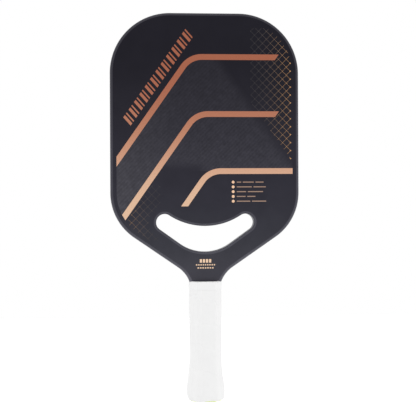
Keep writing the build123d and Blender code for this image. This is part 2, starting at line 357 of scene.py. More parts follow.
# %% Grey see-through coat over the same twill
fade_line = np.array([20.0, 350.0]) * MM  # a point on the slanting line
fade_normal = np.array([0.82, 0.574])  # across it, towards the upper right
fade_inside, fade_outside = -9.0 * MM, 5.0 * MM
# Painted shading: the thin coat's colour gets lighter from the upper height down to the lower one, as on
# the full coat.
thin_shade_low, thin_shade_high = 0.190, 0.360  # heights between which the thin coat's colour runs
thin_painted_shade_run = [(0.0, "#434249"), (0.4, "#34333A"), (0.75, "#29282E"), (1.0, "#25242A")]
left_rim, left_end, left_glow = -92.0 * MM, -30.0 * MM, 0.012  # the coat is paler near the left rim
foot_high, foot_low = 254.0 * MM, 241.0 * MM  # the thin coat fades out between these heights
bend_right, bend_left = 8.0 * MM, -10.0 * MM  # and between these distances from the middle
climb_limit = -47.0 * MM  # left of this the thin coat isn't faded at its foot

grey_coat, tree, shader = new_material("thin_grey_coated_carbon", coat_values)
place, axes, on_top, height = twill(tree)
# The full coat's colour, with its painted shading along the blade.
base = coat_colour_with_painted_shade(tree, axes)
share = add(
    tree, "MapRange", {"Value": axes["Z"], "From Min": thin_shade_low, "From Max": thin_shade_high}
).outputs[0]
leftness = add(
    tree,
    "MapRange",
    {
        "Value": axes["X"],
        "From Min": left_rim,
        "From Max": left_end,
        "To Min": left_glow,
        "To Max": 0.0,
    },
).outputs[0]
lift_left = add(
    tree, "CombineXYZ", {0: leftness, 1: leftness, 2: leftness}
).outputs[0]
# The thin coat's colour, with its own painted shading along the blade.
thin_painted_shade_colour = add(tree, "ValToRGB", {"Fac": share}, steps=thin_painted_shade_run).outputs["Color"]
thin_painted_shade_colour = add(tree, "VectorMath", {0: thin_painted_shade_colour, 1: lift_left}, operation="ADD").outputs[0]
tow_gain = add(
    tree, "MapRange", {"Value": on_top, "To Min": 0.94, "To Max": 1.06}
).outputs[0]
wide_blotches = mottle(tree, place, 170.0, 0.88, 1.12)
small_blotches = mottle(tree, place, 420.0, 0.88, 1.12)
woven = thin_painted_shade_colour
for gain in (tow_gain, wide_blotches, small_blotches):
    woven = add(tree, "VectorMath", {0: woven, "Scale": gain}, operation="SCALE").outputs[0]
offset = add(
    tree, "VectorMath", {0: place, 1: (fade_line[0], 0.0, fade_line[1])}, operation="SUBTRACT"
).outputs[0]
beyond = add(
    tree,
    "VectorMath",
    {0: offset, 1: (fade_normal[0], 0.0, fade_normal[1])},
    operation="DOT_PRODUCT",
).outputs["Value"]
fade = add(
    tree,
    "MapRange",
    {"Value": beyond, "From Min": fade_inside, "From Max": fade_outside},
    interpolation_type="SMOOTHSTEP",
).outputs[0]
lowered = add(
    tree,
    "MapRange",
    {"Value": axes["Z"], "From Min": foot_high, "From Max": foot_low},
    interpolation_type="SMOOTHSTEP",
).outputs[0]
left_of_bend = add(
    tree,
    "MapRange",
    {"Value": axes["X"], "From Min": bend_right, "From Max": bend_left},
    interpolation_type="SMOOTHSTEP",
).outputs[0]
right_of_climb = add(
    tree, "Math", {0: axes["X"], 1: climb_limit}, operation="GREATER_THAN"
).outputs[0]
below = add(tree, "Math", {0: lowered, 1: left_of_bend}, operation="MULTIPLY").outputs[0]
below = add(tree, "Math", {0: below, 1: right_of_climb}, operation="MULTIPLY").outputs[0]
fade = add(tree, "Math", {0: fade, 1: below}, operation="MAXIMUM").outputs[0]
blended = add(tree, "Mix", {0: fade, 6: woven, 7: base}, data_type="RGBA").outputs[2]
connect(tree, blended, shader, "Base Color")
connect(tree, coat_relief(tree, height, 0.01 * MM, 0.01 * MM), shader, "Normal")

# %% [markdown]
# The rim and the throat's lining are moulded carbon with the same painted shading along the blade,
# darker at the tip and lighter towards the handle, in a smoother, glossier lacquer. No cloth shows
# there, only the orange-peel of the spray, and the tone is uneven and a touch greyer than on the faces.

# %% Moulded rim finish
rim_coat, tree, shader = new_material(
    "moulded_carbon_black_lacquer",
    {"Roughness": 0.42, "Specular IOR Level": 0.5, "Specular Tint": linear("#F2EEFF")},
)
place, axes = object_axes(tree)
gain = mottle(tree, place, 90.0, 1.0, 1.5)
# The coat's colour with its painted shading, lifted by an uneven random tone.
toned = add(tree, "VectorMath", {0: coat_colour_with_painted_shade(tree, axes), "Scale": gain}, operation="SCALE")
connect(tree, toned.outputs[0], shader, "Base Color")
peel = add(tree, "TexNoise", {"Vector": place, "Scale": 420.0, "Detail": 2.0}).outputs["Fac"]
bump = add(tree, "Bump", {"Height": peel, "Strength": 1.0, "Distance": 0.015 * MM}).outputs[0]
connect(tree, bump, shader, "Normal")

# %% [markdown]
# ## Printed inks
# The stripes are screen printed in a metallic ink that runs from a red copper at the top of the
# blade to a pale peach near the throat. The lattice is a thinner gold ink that is nearly black on
# its inner side and brightens towards the rim. Dots and rows use the palest copper, and the dashes
# a fainter one.

# %% Inks
def ink(name, steps, axis, low, high, values):
    """A speckled printed ink whose colour runs along Object X or Z between two places."""
    material, tree, shader = new_material(name, values)
    place = add(tree, "TexCoord").outputs["Object"]
    along = add(tree, "SeparateXYZ", {0: place}).outputs[axis]
    if axis == "X":
        along = add(tree, "Math", {0: along}, operation="ABSOLUTE").outputs[0]
    share = add(tree, "MapRange", {"Value": along, "From Min": low, "From Max": high}).outputs[0]
    colour = add(tree, "ValToRGB", {"Fac": share}, steps=steps).outputs["Color"]
    speckle = add(tree, "TexNoise", {"Vector": place, "Scale": 900.0, "Detail": 3.0}).outputs["Fac"]
    amount = add(
        tree, "MapRange", {"Value": speckle, "To Min": 0.9, "To Max": 1.08}
    ).outputs[0]
    speckled = add(
        tree, "VectorMath", {0: colour, 1: amount}, operation="MULTIPLY"
    ).outputs[0]
    connect(tree, speckled, shader, "Base Color")
    bump = add(tree, "Bump", {"Height": speckle, "Strength": 1.0, "Distance": 0.008 * MM})
    connect(tree, bump.outputs[0], shader, "Normal")
    return material


ink_values = {"Roughness": 0.42, "Metallic": 0.25}
copper_ink = ink(
    "screen_printed_copper_ink",
    [
        (0.08, "#E1BA9B"),
        (0.24, "#DAAF91"),
        (0.39, "#CC9679"),
        (0.55, "#BB7D5F"),
        (0.70, "#AD6A4F"),
        (0.85, "#A45D42"),
        (1.0, "#A15A3D"),
    ],
    "Z",
    0.190,
    0.355,
    ink_values,
)
gold_ink = ink(
    "thin_gold_lattice_ink",
    [(0.0, "#2C2A2E"), (0.35, "#4C4543"), (0.7, "#8A6C50"), (1.0, "#C9965F")],
    "X",
    0.050,
    0.091,
    ink_values,
)
pale_ink = ink(
    "pale_copper_mark_ink", [(0.0, "#F0CFAE"), (1.0, "#F3C6A2")], "Z", 0.13, 0.24, ink_values
)
faint_ink = ink(
    "faint_copper_dash_ink", [(0.0, "#A88A78"), (1.0, "#9C7E6C")], "Z", 0.20, 0.24, ink_values
)

# %% [markdown]
# ## Outline of the blade
# The blade's outline is straight runs joined by arcs, and every inset of it keeps the arcs'
# centres, so one function gives a point and its outward direction, and an inset is a step back
# along that direction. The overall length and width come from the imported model.

# %% Outline of blade, flanks and neck
half_width = (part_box("edge_wall")[1].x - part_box("edge_wall")[0].x) / 2
blade_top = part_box("edge_wall")[1].z
tang_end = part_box("edge_wall")[0].z
half_thickness = (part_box("front_face_ply")[0].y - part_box("back_face_ply")[1].y) / -2
top_corner_radius = 63.2 * MM
lower_corner_radius = 56.7 * MM
flank_angle = math.radians(34.5)
neck_height = 130.4 * MM  # where the flanks, drawn on, would meet the tang
neck_radius = 32.5 * MM
half_tang = 14.5 * MM

flank_normal = np.array([math.sin(flank_angle), -math.cos(flank_angle)])
flank_reach = flank_normal @ (half_tang, neck_height)
lower_corner_x = half_width - lower_corner_radius
lower_corner_height = (
    flank_reach - lower_corner_radius - flank_normal[0] * lower_corner_x
) / flank_normal[1]


def arc(centre, radius, start, end, steps, outward=1.0):
    """Points and outward directions along an arc: centre plus radius times (cos, sin)."""
    angle = np.linspace(start, end, steps)
    direction = np.stack([np.cos(angle), np.sin(angle)], axis=1)
    return np.asarray(centre) + radius * direction, outward * direction


def blade_half():
    """Right half of the outline, from the middle of the top edge down to the tang's end."""
    normal_angle = flank_angle - math.pi / 2
    top_centre = (half_width - top_corner_radius, blade_top - top_corner_radius)
    low_centre = (lower_corner_x, lower_corner_height)
    neck_x = half_tang + neck_radius
    neck_z = (flank_reach + neck_radius - flank_normal[0] * neck_x) / flank_normal[1]
    neck_centre = (neck_x, neck_z)
    runs = [
        (np.array([[0.0, blade_top]]), np.array([[0.0, 1.0]])),
        arc(top_centre, top_corner_radius, math.pi / 2, 0.0, 49),
        arc(low_centre, lower_corner_radius, 0.0, normal_angle, 37),
        arc(neck_centre, neck_radius, normal_angle + math.pi, math.pi, 33, outward=-1.0),
        (np.array([[half_tang, tang_end]]), np.array([[1.0, 0.0]])),
    ]
    return np.concatenate([r[0] for r in runs]), np.concatenate([r[1] for r in runs])


half_points, half_normals = blade_half()
mirrored = np.array([-1.0, 1.0])
outline = np.concatenate([(half_points * mirrored)[:0:-1], half_points])
outward = np.concatenate([(half_normals * mirrored)[:0:-1], half_normals])
print("outline points", len(outline))

# %% [markdown]
# ## Rim wall
# The rim is a moulded channel: rounded outside, with two thin flanges that reach in under the
# carbon sheets. It could be cut from the CAD mesh, but a profile carried along the outline gives
# an even, finely divided curve for the light to run along.

# %% Profile carried along an outline
edge_radius = 3.0 * MM
wall_web = 1.4 * MM
wall_lap = 7.0 * MM
ply = 0.45 * MM
sheet_stack = 1.05 * MM  # carbon sheet, glass sheet and veil together
core_level = half_thickness - sheet_stack


def channel_profile(radius, steps=9):
    """Closed section of a wall as (inset, depth): two rounded shoulders, web and flanges."""
    turn = np.linspace(0.0, math.pi / 2, steps)
    front = np.stack([radius - radius * np.sin(turn), -half_thickness + radius - radius * np.cos(turn)], 1)
    back = front[::-1] * np.array([1.0, -1.0])
    inner = np.array(
        [
            (radius, half_thickness - ply),
            (wall_lap, half_thickness - ply),
            (wall_lap, core_level),
            (wall_web, core_level),
            (wall_web, -core_level),
            (wall_lap, -core_level),
            (wall_lap, -half_thickness + ply),
            (radius, -half_thickness + ply),
        ]
    )
    return np.concatenate([front, back, inner])


def sweep(path, normals, profile):
    """Every profile point on every path point: path minus outward direction times inset."""
    inset, depth = profile[:, 0], profile[:, 1]
    flat = path[:, None, :] - normals[:, None, :] * inset[None, :, None]
    deep = np.broadcast_to(depth[None, :], flat.shape[:2])
    return np.stack([flat[..., 0], deep, flat[..., 1]], axis=2)


section = channel_profile(edge_radius)
rim_points = sweep(outline, outward, section)
rows, columns = rim_points.shape[:2]
rim_faces = grid_faces(rows, columns)
rim_faces += [list(range(columns)), [(rows - 1) * columns + k for k in range(columns)]]
rim = make_piece("rim_wall", rim_points, rim_faces, rim_coat, crisp_angle=40.0)
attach(rim, "root")
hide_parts("edge_wall")
print("rim wall", len(rim.data.polygons), "faces")

# %% [markdown]
# ## Throat lining
# The opening has two rounded horns, a top edge that dips between them and a tighter curve below.
# The same channel runs round it, turned inside out, so its outward direction points into the hole.

# %% Throat lining
horn_x = 42.4 * MM
horn_height = 187.2 * MM
horn_radius = 8.9 * MM
throat_top_radius = 68.0 * MM
throat_bottom_radius = 45.0 * MM
throat_bottom = 156.25 * MM
throat_edge_radius = 2.5 * MM


def throat_half():
    """Right half of the opening from the top middle, round the horn, to the bottom middle."""
    rise = math.sqrt((throat_top_radius + horn_radius) ** 2 - horn_x**2)
    top_centre = (0.0, horn_height + rise)
    low_centre = (0.0, throat_bottom + throat_bottom_radius)
    to_top = math.atan2(rise, -horn_x)
    drop = horn_height - low_centre[1]
    spread = math.acos((throat_bottom_radius - horn_radius) / math.hypot(horn_x, drop))
    flank_normal = math.atan2(drop, horn_x) - spread
    down = -math.pi / 2
    runs = [
        arc(top_centre, throat_top_radius, down, to_top - math.pi, 41, outward=1.0),
        arc((horn_x, horn_height), horn_radius, to_top, flank_normal, 41, outward=-1.0),
        arc(low_centre, throat_bottom_radius, flank_normal, down, 33, outward=-1.0),
    ]
    return np.concatenate([r[0] for r in runs]), np.concatenate([r[1] for r in runs])


throat_points, throat_normals = throat_half()
throat_line = np.concatenate([throat_points, (throat_points * mirrored)[-2:0:-1]])
throat_inward = np.concatenate([throat_normals, (throat_normals * mirrored)[-2:0:-1]])
lining_points = sweep(throat_line, throat_inward, channel_profile(throat_edge_radius))
rows, columns = lining_points.shape[:2]
lining = make_piece(
    "throat_lining", lining_points, grid_faces(rows, columns, wrap_rows=True), rim_coat, 40.0
)
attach(lining, "root")
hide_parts("throat_wall")
print("throat lining", len(lining.data.polygons), "faces")

# %% [markdown]
# ## Prints
# Ink has a thickness, so each print is a very thin closed layer on the face instead of a picture
# in its material: its edges stay sharp from any distance. The motif is a plain one of parallel
# lines that climb the blade, bend, and run level to the right. The back carries the same prints,
# turned half round.

# %% Ink layers
ink_depth = 0.03 * MM
ink_sink = 0.002 * MM  # how far a layer reaches into the face under it
half_turn = np.array([-1.0, -1.0, 1.0])


def print_layer(name, shapes, material, lift=0.0):
    """Closed flat prisms on both faces, one for each outline in shapes, in (x, z) metres."""
    pieces = []
    for side, turn in (("front", np.ones(3)), ("back", half_turn)):
        points, faces, start = [], [], 0
        for shape in shapes:
            count = len(shape)
            for level in (half_thickness - ink_sink, half_thickness + lift + ink_depth):
                layer = np.insert(np.asarray(shape, float), 1, -level, axis=1)
                points.append(layer * turn)
            ring = np.arange(count)
            sides = np.stack([ring, (ring + 1) % count, (ring + 1) % count + count, ring + count], 1)
            faces += (sides + start).tolist()
            faces += [(ring + start).tolist(), (ring + start + count).tolist()]
            start += 2 * count
        piece = make_piece(f"{side}_{name}", np.concatenate(points), faces, material)
        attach(piece, "root")
        pieces.append(piece)
    print(name, len(shapes), "shapes on each face")
    return pieces


# %% Stripes that climb and bend
stripe_width = 6.0 * MM
climb = math.atan(1.422)  # rise over run of the stripes, about 55 degrees from level
print_inset = 6.7 * MM  # unprinted border inside the blade's outline
print_edge = half_width - print_inset
level_heights = {"upper": 360.2 * MM, "middle": 300.5 * MM, "lower": 240.75 * MM}
bend_radius = 24.0 * MM
stripe_end = 76.0 * MM
slope = np.array([math.cos(climb), math.sin(climb)])
across = np.array([-math.sin(climb), math.cos(climb)])


def stripe_line(start, level, end_x, offset):
    """The bend and the slanted end of a line that climbs from start, shifted sideways.

    The bend's centre lies below the level run, so a shift outwards widens its radius."""
    tangent = bend_radius * math.tan(climb / 2)
    corner = np.array([start[0] + (level - start[1]) / math.tan(climb), level])
    centre = np.array([corner[0] + tangent, level - bend_radius])
    radius = bend_radius + offset
    turn = np.linspace(climb + math.pi / 2, math.pi / 2, 25)
    bend = centre + radius * np.stack([np.cos(turn), np.sin(turn)], axis=1)
    end = np.array([[end_x + offset / math.tan(climb), level + offset]])
    return bend, end


def cut_at_x(point, x):
    """The place on the climbing line through a point where it crosses a vertical line."""
    return point + slope * (x - point[0]) / slope[0]


def climbing_stripe(base, level):
    """The bends and slanted ends of both long edges of a stripe whose middle runs through base."""
    upper_bend, upper_end = stripe_line(base, level, stripe_end, stripe_width / 2)
    lower_bend, lower_end = stripe_line(base, level, stripe_end, -stripe_width / 2)
    return upper_bend, upper_end, lower_bend, lower_end


def border_crossing(offset_point):
    """Where a climbing line through a point meets the lower left corner of the print border."""
    centre = np.array([-(half_width - lower_corner_radius), lower_corner_height])
    radius = lower_corner_radius - (half_width - print_edge)
    to_centre = offset_point - centre
    along = to_centre @ slope
    root = math.sqrt(along**2 - to_centre @ to_centre + radius**2)
    return offset_point - slope * (along + root)


upper_base = np.array([-83.7, 262.9]) * MM
middle_base = np.array([-51.1, 240.75]) * MM
lower_base = np.array([-20.9, 205.0]) * MM
half_stripe = across * stripe_width / 2

up_bend, up_end, low_bend, low_end = climbing_stripe(upper_base, level_heights["upper"])
upper_stripe = np.concatenate(
    [
        [cut_at_x(upper_base + half_stripe, -print_edge)],
        up_bend,
        up_end,
        low_end,
        low_bend[::-1],
        [cut_at_x(upper_base - half_stripe, -print_edge)],
    ]
)
up_bend, up_end, low_bend, low_end = climbing_stripe(middle_base, level_heights["middle"])
middle_stripe = np.concatenate(
    [
        [border_crossing(middle_base + half_stripe)],
        up_bend,
        up_end,
        low_end,
        low_bend[::-1],
        [border_crossing(middle_base - half_stripe)],
    ]
)
lower_foot = 204.0 * MM  # height where the lower stripe's climb starts, above the opening
up_bend, _, low_bend, _ = climbing_stripe(lower_base, level_heights["lower"])
lower_rise = stripe_width / 2


def cut_at_z(point, z):
    """The place on the climbing line through a point where it crosses a level line."""
    return point + slope * (z - point[1]) / slope[1]


lower_stripe = np.concatenate(
    [
        [cut_at_z(lower_base + half_stripe, lower_foot)],
        up_bend,
        [(print_edge, level_heights["lower"] + lower_rise)],
        [(print_edge, level_heights["lower"] - lower_rise)],
        low_bend[::-1],
        [cut_at_z(lower_base - half_stripe, lower_foot)],
    ]
)
print_layer("copper_stripes", [upper_stripe, middle_stripe, lower_stripe], copper_ink, 0.02 * MM)

# %% Grey panel between the stripes
upper_middle, _ = stripe_line(upper_base, level_heights["upper"], stripe_end, 0.0)
fade_foot = fade_line + fade_normal * fade_outside
fade_along = np.array([fade_normal[1], -fade_normal[0]])


def on_fade_line(z):
    """The place at a height where the grey coat has faded away."""
    return fade_foot + fade_along * (z - fade_foot[1]) / fade_along[1]


def on_fade_line_z(x):
    """The height at which the faded edge passes a distance from the middle."""
    return fade_foot[1] + fade_along[1] * (x - fade_foot[0]) / fade_along[0]


corner_centre = (-(half_width - lower_corner_radius), lower_corner_height)
corner_radius = lower_corner_radius - (half_width - print_edge)
panel_foot = border_crossing(middle_base)
foot_angle = math.atan2(panel_foot[1] - corner_centre[1], panel_foot[0] - corner_centre[0])
corner_run, _ = arc(corner_centre, corner_radius, foot_angle, -math.pi, 25)
panel = np.concatenate(
    [
        [cut_at_x(upper_base, -print_edge)],
        upper_middle,
        [on_fade_line(level_heights["upper"])],
        [(print_edge, on_fade_line_z(print_edge))],
        [(print_edge, level_heights["lower"])],
        [middle_base],
        corner_run,
    ]
)
print_layer("grey_panel", [panel], grey_coat, -0.015 * MM)


# %% [markdown]
# The lattice is two families of fine lines at right angles, 8.35 mm from knot to knot. It fills the
# upper right of the blade out to the print's border and a small field left of the opening. Each
# knot has a fine dot, and those of the outermost column a larger one.

# %% Lattice lines and knots
knot_pitch = 8.35 * MM
line_width = 0.24 * MM
knot_column = 90.2 * MM
knot_height = 320.7 * MM
fine_knot_radius, rim_knot_radius = 0.36 * MM, 0.7 * MM
upper_left, upper_right, upper_high = 48 * MM, 90.6 * MM, 391 * MM  # limits of the main field
lower_right, lower_low, lower_high = -47 * MM, 168 * MM, 226 * MM  # limits of the small field
fade_margin = 2 * MM  # kept clear beside the slanting line
horn_margin = 8 * MM  # kept clear round the opening
stripe_clear = 1.6  # kept clear beside the middle stripe, in halves of its width
diagonal = math.sqrt(0.5)


def clip_line(point, direction, inside, low, high, count=900):
    """The longest stretch of a line, between two distances, whose points pass the test."""
    reach = np.linspace(low, high, count)
    places = point + reach[:, None] * direction
    good = np.nonzero(inside(places))[0]
    if len(good) < 3:
        return None
    breaks = np.nonzero(np.diff(good) > 1)[0]
    runs = np.split(good, breaks + 1)
    longest = max(runs, key=len)
    return places[longest[0]], places[longest[-1]]


def in_border(places, inset=print_inset):
    """True inside the blade's outline stepped in by the inset, for its rounded corners."""
    x, z = np.abs(places[:, 0]), places[:, 1]
    side = half_width - inset
    top_x = half_width - top_corner_radius
    top_z = blade_top - top_corner_radius
    in_top = (x - top_x) ** 2 + (z - top_z) ** 2 < (top_corner_radius - inset) ** 2
    low_x = half_width - lower_corner_radius
    near_low = (x - low_x) ** 2 + (z - lower_corner_height) ** 2 < (lower_corner_radius - inset) ** 2
    above = (z < top_z) | (x < top_x) | in_top
    flank = math.sin(flank_angle) * (x - low_x) - math.cos(flank_angle) * (z - lower_corner_height)
    straight = x < low_x + flank_normal[0] * (lower_corner_radius - inset)
    below = (z > lower_corner_height) | near_low | ((flank < lower_corner_radius - inset) & straight)
    return (x < side) & (z < blade_top - inset) & above & below


def upper_field(places):
    """The lattice's main field: right of the middle, above the lower stripe."""
    x, z = places[:, 0], places[:, 1]
    right_of_fade = (places - fade_line) @ fade_normal > fade_margin
    within = (x > upper_left) & (x < upper_right) & (z < upper_high)
    return in_border(places) & right_of_fade & within


def lower_field(places):
    """The small field right of the middle stripe's foot."""
    x, z = places[:, 0], places[:, 1]
    clear = (places - (middle_base - half_stripe * stripe_clear)) @ across
    horn_gap = np.hypot(x + horn_x, z - horn_height) - horn_radius
    free = (clear < 0) & (horn_gap > horn_margin)
    return in_border(places) & free & (x < lower_right) & (z < lower_high) & (z > lower_low)


def lattice(field, x_range, z_range):
    """Thin strips along both diagonals through the knots, each clipped to the field."""
    strips = []
    middle = np.array([sum(x_range) / 2, sum(z_range) / 2])
    reach = (x_range[1] - x_range[0]) + (z_range[1] - z_range[0])
    for tilt in (1.0, -1.0):
        direction = np.array([diagonal, diagonal * tilt])
        sideways = np.array([-direction[1], direction[0]])
        base = np.array([knot_column, knot_height]) @ sideways
        spacing = knot_pitch * diagonal
        centre = middle @ sideways
        steps = int(reach / spacing / 2) + 2
        first = round((centre - base) / spacing)
        for k in range(first - steps, first + steps + 1):
            offset = base + k * spacing
            point = direction * (middle @ direction) + sideways * offset
            ends = clip_line(point, direction, field, -reach, reach)
            if ends is not None:
                width = sideways * line_width / 2
                strips.append([ends[0] - width, ends[1] - width, ends[1] + width, ends[0] + width])
    return strips


def discs(centres, radius, sides=20):
    """Regular many-sided outlines round the given centres."""
    angle = np.arange(sides) * 2 * math.pi / sides
    rim_of_disc = radius * np.stack([np.cos(angle), np.sin(angle)], axis=1)
    return [np.asarray(c) + rim_of_disc for c in centres]


upper_strips = lattice(upper_field, (46 * MM, 91 * MM), (250 * MM, 388 * MM))
lower_strips = lattice(lower_field, (-92 * MM, -46 * MM), (166 * MM, 226 * MM))
knot_columns, knot_rows = np.arange(0, 46), np.arange(-20, 12)  # enough to cover both fields
column, row = np.meshgrid(knot_columns, knot_rows, indexing="ij")
knots = np.stack(
    [
        knot_column - column.ravel() * knot_pitch / 2,
        knot_height + (row.ravel() + (column.ravel() % 2) / 2) * knot_pitch,
    ],
    axis=1,
)
outermost = knots[:, 0] > knot_column - 1 * MM
inner_knots = knots[(upper_field(knots) | lower_field(knots)) & ~outermost]
rim_knots = knots[upper_field(knots) & outermost]
print_layer("gold_lattice", upper_strips + lower_strips, gold_ink, 0.004 * MM)
print_layer("fine_knots", discs(inner_knots, fine_knot_radius, 10), gold_ink, 0.01 * MM)
print_layer("rim_knots", discs(rim_knots, rim_knot_radius), gold_ink, 0.01 * MM)

# %% [markdown]
# Small generic marks stand where a maker would put words: a hatched band beside the upper stripe,
# five dots with dashes beside them above the opening, and three short rows below it.

# %% Hatched band, dots with dashes, and rows
band_start = np.array([-82.0, 291.5]) * MM
band_height = 11.2 * MM
bar_pitch = 4.85 * MM
bar_widths = (3.0 * MM, 1.5 * MM)
bar_count = 24
bar_lean = slope * 2.6 * MM  # how far a bar's top is shifted along the band
bars = []
for k in range(bar_count):
    foot = band_start + slope * (k * bar_pitch) - across * band_height / 2
    head = foot + across * band_height + bar_lean
    wide = slope * bar_widths[k % 2]
    bars.append([foot, foot + wide, head + wide, head])
print_layer("hatched_band", bars, copper_ink, 0.01 * MM)

dot_x = 29.4 * MM
dot_top = 229.2 * MM
dot_pitch = 5.0 * MM
dot_radius = 1.5 * MM
dot_rows = [dot_top - k * dot_pitch for k in range(5)]
dash_start = 33.2 * MM
# Lengths of each row's dashes, in millimetres
dash_rows = [(4.6, 11.5, 8.6), (15.8, 13.0), (9.8, 16.0), (9.2, 8.6), (14.2, 15.0)]
dash_height = 1.0 * MM
dash_gap = 1.8 * MM


def rectangle(left, bottom, width, height):
    """An upright rectangle's outline from its lower left corner."""
    right_side, top_side = left + width, bottom + height
    return [(left, bottom), (right_side, bottom), (right_side, top_side), (left, top_side)]


dashes = []
for height_of_row, lengths in zip(dot_rows, dash_rows):
    left = dash_start
    for length in lengths:
        dashes.append(rectangle(left, height_of_row - dash_height / 2, length * MM, dash_height))
        left += length * MM + dash_gap
print_layer("marker_dots", discs([(dot_x, z) for z in dot_rows], dot_radius), pale_ink, 0.01 * MM)
print_layer("marker_dashes", dashes, faint_ink, 0.01 * MM)

# Height of each row's middle, its width, how many blocks and their height, in millimetres
row_blocks = [(146.9, 12.0, 4, 3.6), (142.8, 20.0, 9, 1.3), (139.6, 16.8, 7, 1.3)]
row_gap = 0.9 * MM
row_marks = []
for middle_height, width, count, height in row_blocks:
    block = (width * MM - (count - 1) * row_gap) / count
    for k in range(count):
        left = -width * MM / 2 + k * (block + row_gap)
        row_marks.append(rectangle(left, (middle_height - height / 2) * MM, block, height * MM))
print_layer("neck_rows", row_marks, pale_ink, 0.01 * MM)

# %% [markdown]
# ## Finishes of the handle
# The wrap is soft polyurethane with a dry, very fine grain, almost white and quite matt. The tape
# that ends it is the same white in smooth vinyl. The cap under the wrap is moulded in a lime
# plastic, of which only the rim shows.

# %% Handle materials
wrap_skin, tree, shader = new_material(
    "matt_white_polyurethane_wrap", {"Roughness": 0.62, "Specular IOR Level": 0.35}
)
place = add(tree, "TexCoord").outputs["Object"]
tint = add(tree, "TexNoise", {"Vector": place, "Scale": 60.0, "Detail": 3.0}).outputs["Fac"]
tone = add(tree, "ValToRGB", {"Fac": tint}, steps=[(0.3, "#F1F1F1"), (0.7, "#F4F4F4")])
connect(tree, tone.outputs["Color"], shader, "Base Color")
pores = add(tree, "TexNoise", {"Vector": place, "Scale": 1500.0, "Detail": 2.0}).outputs["Fac"]
bump = add(tree, "Bump", {"Height": pores, "Strength": 1.0, "Distance": 0.01 * MM}).outputs[0]
connect(tree, bump, shader, "Normal")

tape_skin, tree, shader = new_material(
    "smooth_white_vinyl_tape", {"Roughness": 0.35, "Specular IOR Level": 0.5}
)
place = add(tree, "TexCoord").outputs["Object"]
stretch = add(tree, "TexNoise", {"Vector": place, "Scale": 35.0, "Detail": 2.0}).outputs["Fac"]
tone = add(tree, "ValToRGB", {"Fac": stretch}, steps=[(0.3, "#F2F2F2"), (0.7, "#F5F5F5")])
connect(tree, tone.outputs["Color"], shader, "Base Color")
bump = add(tree, "Bump", {"Height": stretch, "Strength": 1.0, "Distance": 0.05 * MM}).outputs[0]
connect(tree, bump, shader, "Normal")

cap_skin, tree, shader = new_material(
    "injection_moulded_lime_plastic", {"Roughness": 0.38, "Specular IOR Level": 0.5}
)
place = add(tree, "TexCoord").outputs["Object"]
flow = add(tree, "TexNoise", {"Vector": place, "Scale": 28.0, "Detail": 3.0}).outputs["Fac"]
tone = add(tree, "ValToRGB", {"Fac": flow}, steps=[(0.3, "#C3DC3A"), (0.7, "#CDE345")])
connect(tree, tone.outputs["Color"], shader, "Base Color")
spark = add(tree, "TexNoise", {"Vector": place, "Scale": 1100.0, "Detail": 1.0}).outputs["Fac"]
bump = add(tree, "Bump", {"Height": spark, "Strength": 1.0, "Distance": 0.012 * MM}).outputs[0]
connect(tree, bump, shader, "Normal")

# %% [markdown]
# ## Cushioned wrap
# The handle's section is an octagon with its corners rounded by the padding. The wrap is a ring of
# that section carried down the handle: straight, then swelling over the cap's flare, then tucked
# in at its lower edge. A long spiral line shows where one turn of the strip meets the next. The
# lower edge was trimmed by hand. It lies a little higher at the sides of the handle, and right of
# the middle of the front, where the lime rim shows.

# %% Octagonal section with rounded corners
half_depth = 12.2 * MM  # half the handle's depth over its two pallets
bevel_leg = 6.0 * MM
bevel_share = 2.0 - math.sqrt(2.0)
inner_corner = 0.4 * MM  # corner radius of the wrap's and the cap's inside
section_columns = 192


def octagon(growth, corner_radius, columns=section_columns):
    """Points round an octagon with arcs for corners, evenly spaced by their own angle.

    The octagon is stepped in by the corner radius; each of its corners then carries an arc of
    that radius over 45 degrees, and the flats between the arcs are divided evenly."""
    a = half_tang + growth - corner_radius
    b = half_depth + growth - corner_radius
    leg = bevel_leg + bevel_share * (growth - corner_radius)
    corners = np.array(
        [
            (a, -b + leg), (a, b - leg), (a - leg, b), (-a + leg, b),
            (-a, b - leg), (-a, -b + leg), (-a + leg, -b), (a - leg, -b),
        ]
    )
    share = columns // 8
    arc_steps = share // 3
    ring = []
    for k in range(8):
        first = (k - 0.5) * math.pi / 4
        angle = np.linspace(first, first + math.pi / 4, arc_steps)
        ring.append(corners[k] + corner_radius * np.stack([np.cos(angle), np.sin(angle)], 1))
        leave = ring[-1][-1]
        next_angle = first + math.pi / 4
        arrive = corners[(k + 1) % 8] + corner_radius * np.array(
            [math.cos(next_angle), math.sin(next_angle)]
        )
        part = np.linspace(0, 1, share - arc_steps + 2)[1:-1, None]
        ring.append(leave + (arrive - leave) * part)
    return np.concatenate(ring)


def padded_corner(growth):
    """Corner radius of the wrapped handle: the padding evens out the octagon's edges."""
    return 5.2 * MM + 0.5 * growth


# %% Wrap surface
wrap_top = 123.5 * MM
wrap_low = 0.35 * MM
wrap_levels = np.array([0.0, 10.3, 33.0, 45.0, 123.5]) * MM
wrap_growths = np.array([4.5, 5.65, 2.7, 2.2, 2.2]) * MM
inner_growths = np.array([2.6, 3.5, 0.55, 0.05, 0.05]) * MM  # over the cap and the pallets
turn_pitch = 25.0 * MM
seam_depth = 0.28 * MM
seam_width = 1.1 * MM
seam_start, seam_fade = 14 * MM, 6 * MM  # height where the seam begins, and how soon it is full
edge_fade = 12 * MM  # height over which the shape of the trimmed edge dies away
wrap_lip = 2.6 * MM  # roundness of the lower edge
lip_share = 0.9  # how far the rounded edge draws in, in lips
inner_lift = 0.4 * MM  # height above the lower edge where the inner skin starts
notch_place = 5.0 * MM  # across the front, where the trimmed edge lies highest
notch_reach = 7.5 * MM
notch_height = 0.9 * MM
corner_rise = 1.5 * MM  # how much higher the trimmed edge lies at the sides of the handle


def smooth_growth(height, levels, growths):
    """Growth along the handle: straight between the levels, eased over 4 mm at each of them."""
    spread = np.linspace(-1, 1, 9)[:, None] * 4 * MM
    return np.interp(height[None, :] + spread, levels, growths).mean(axis=0)


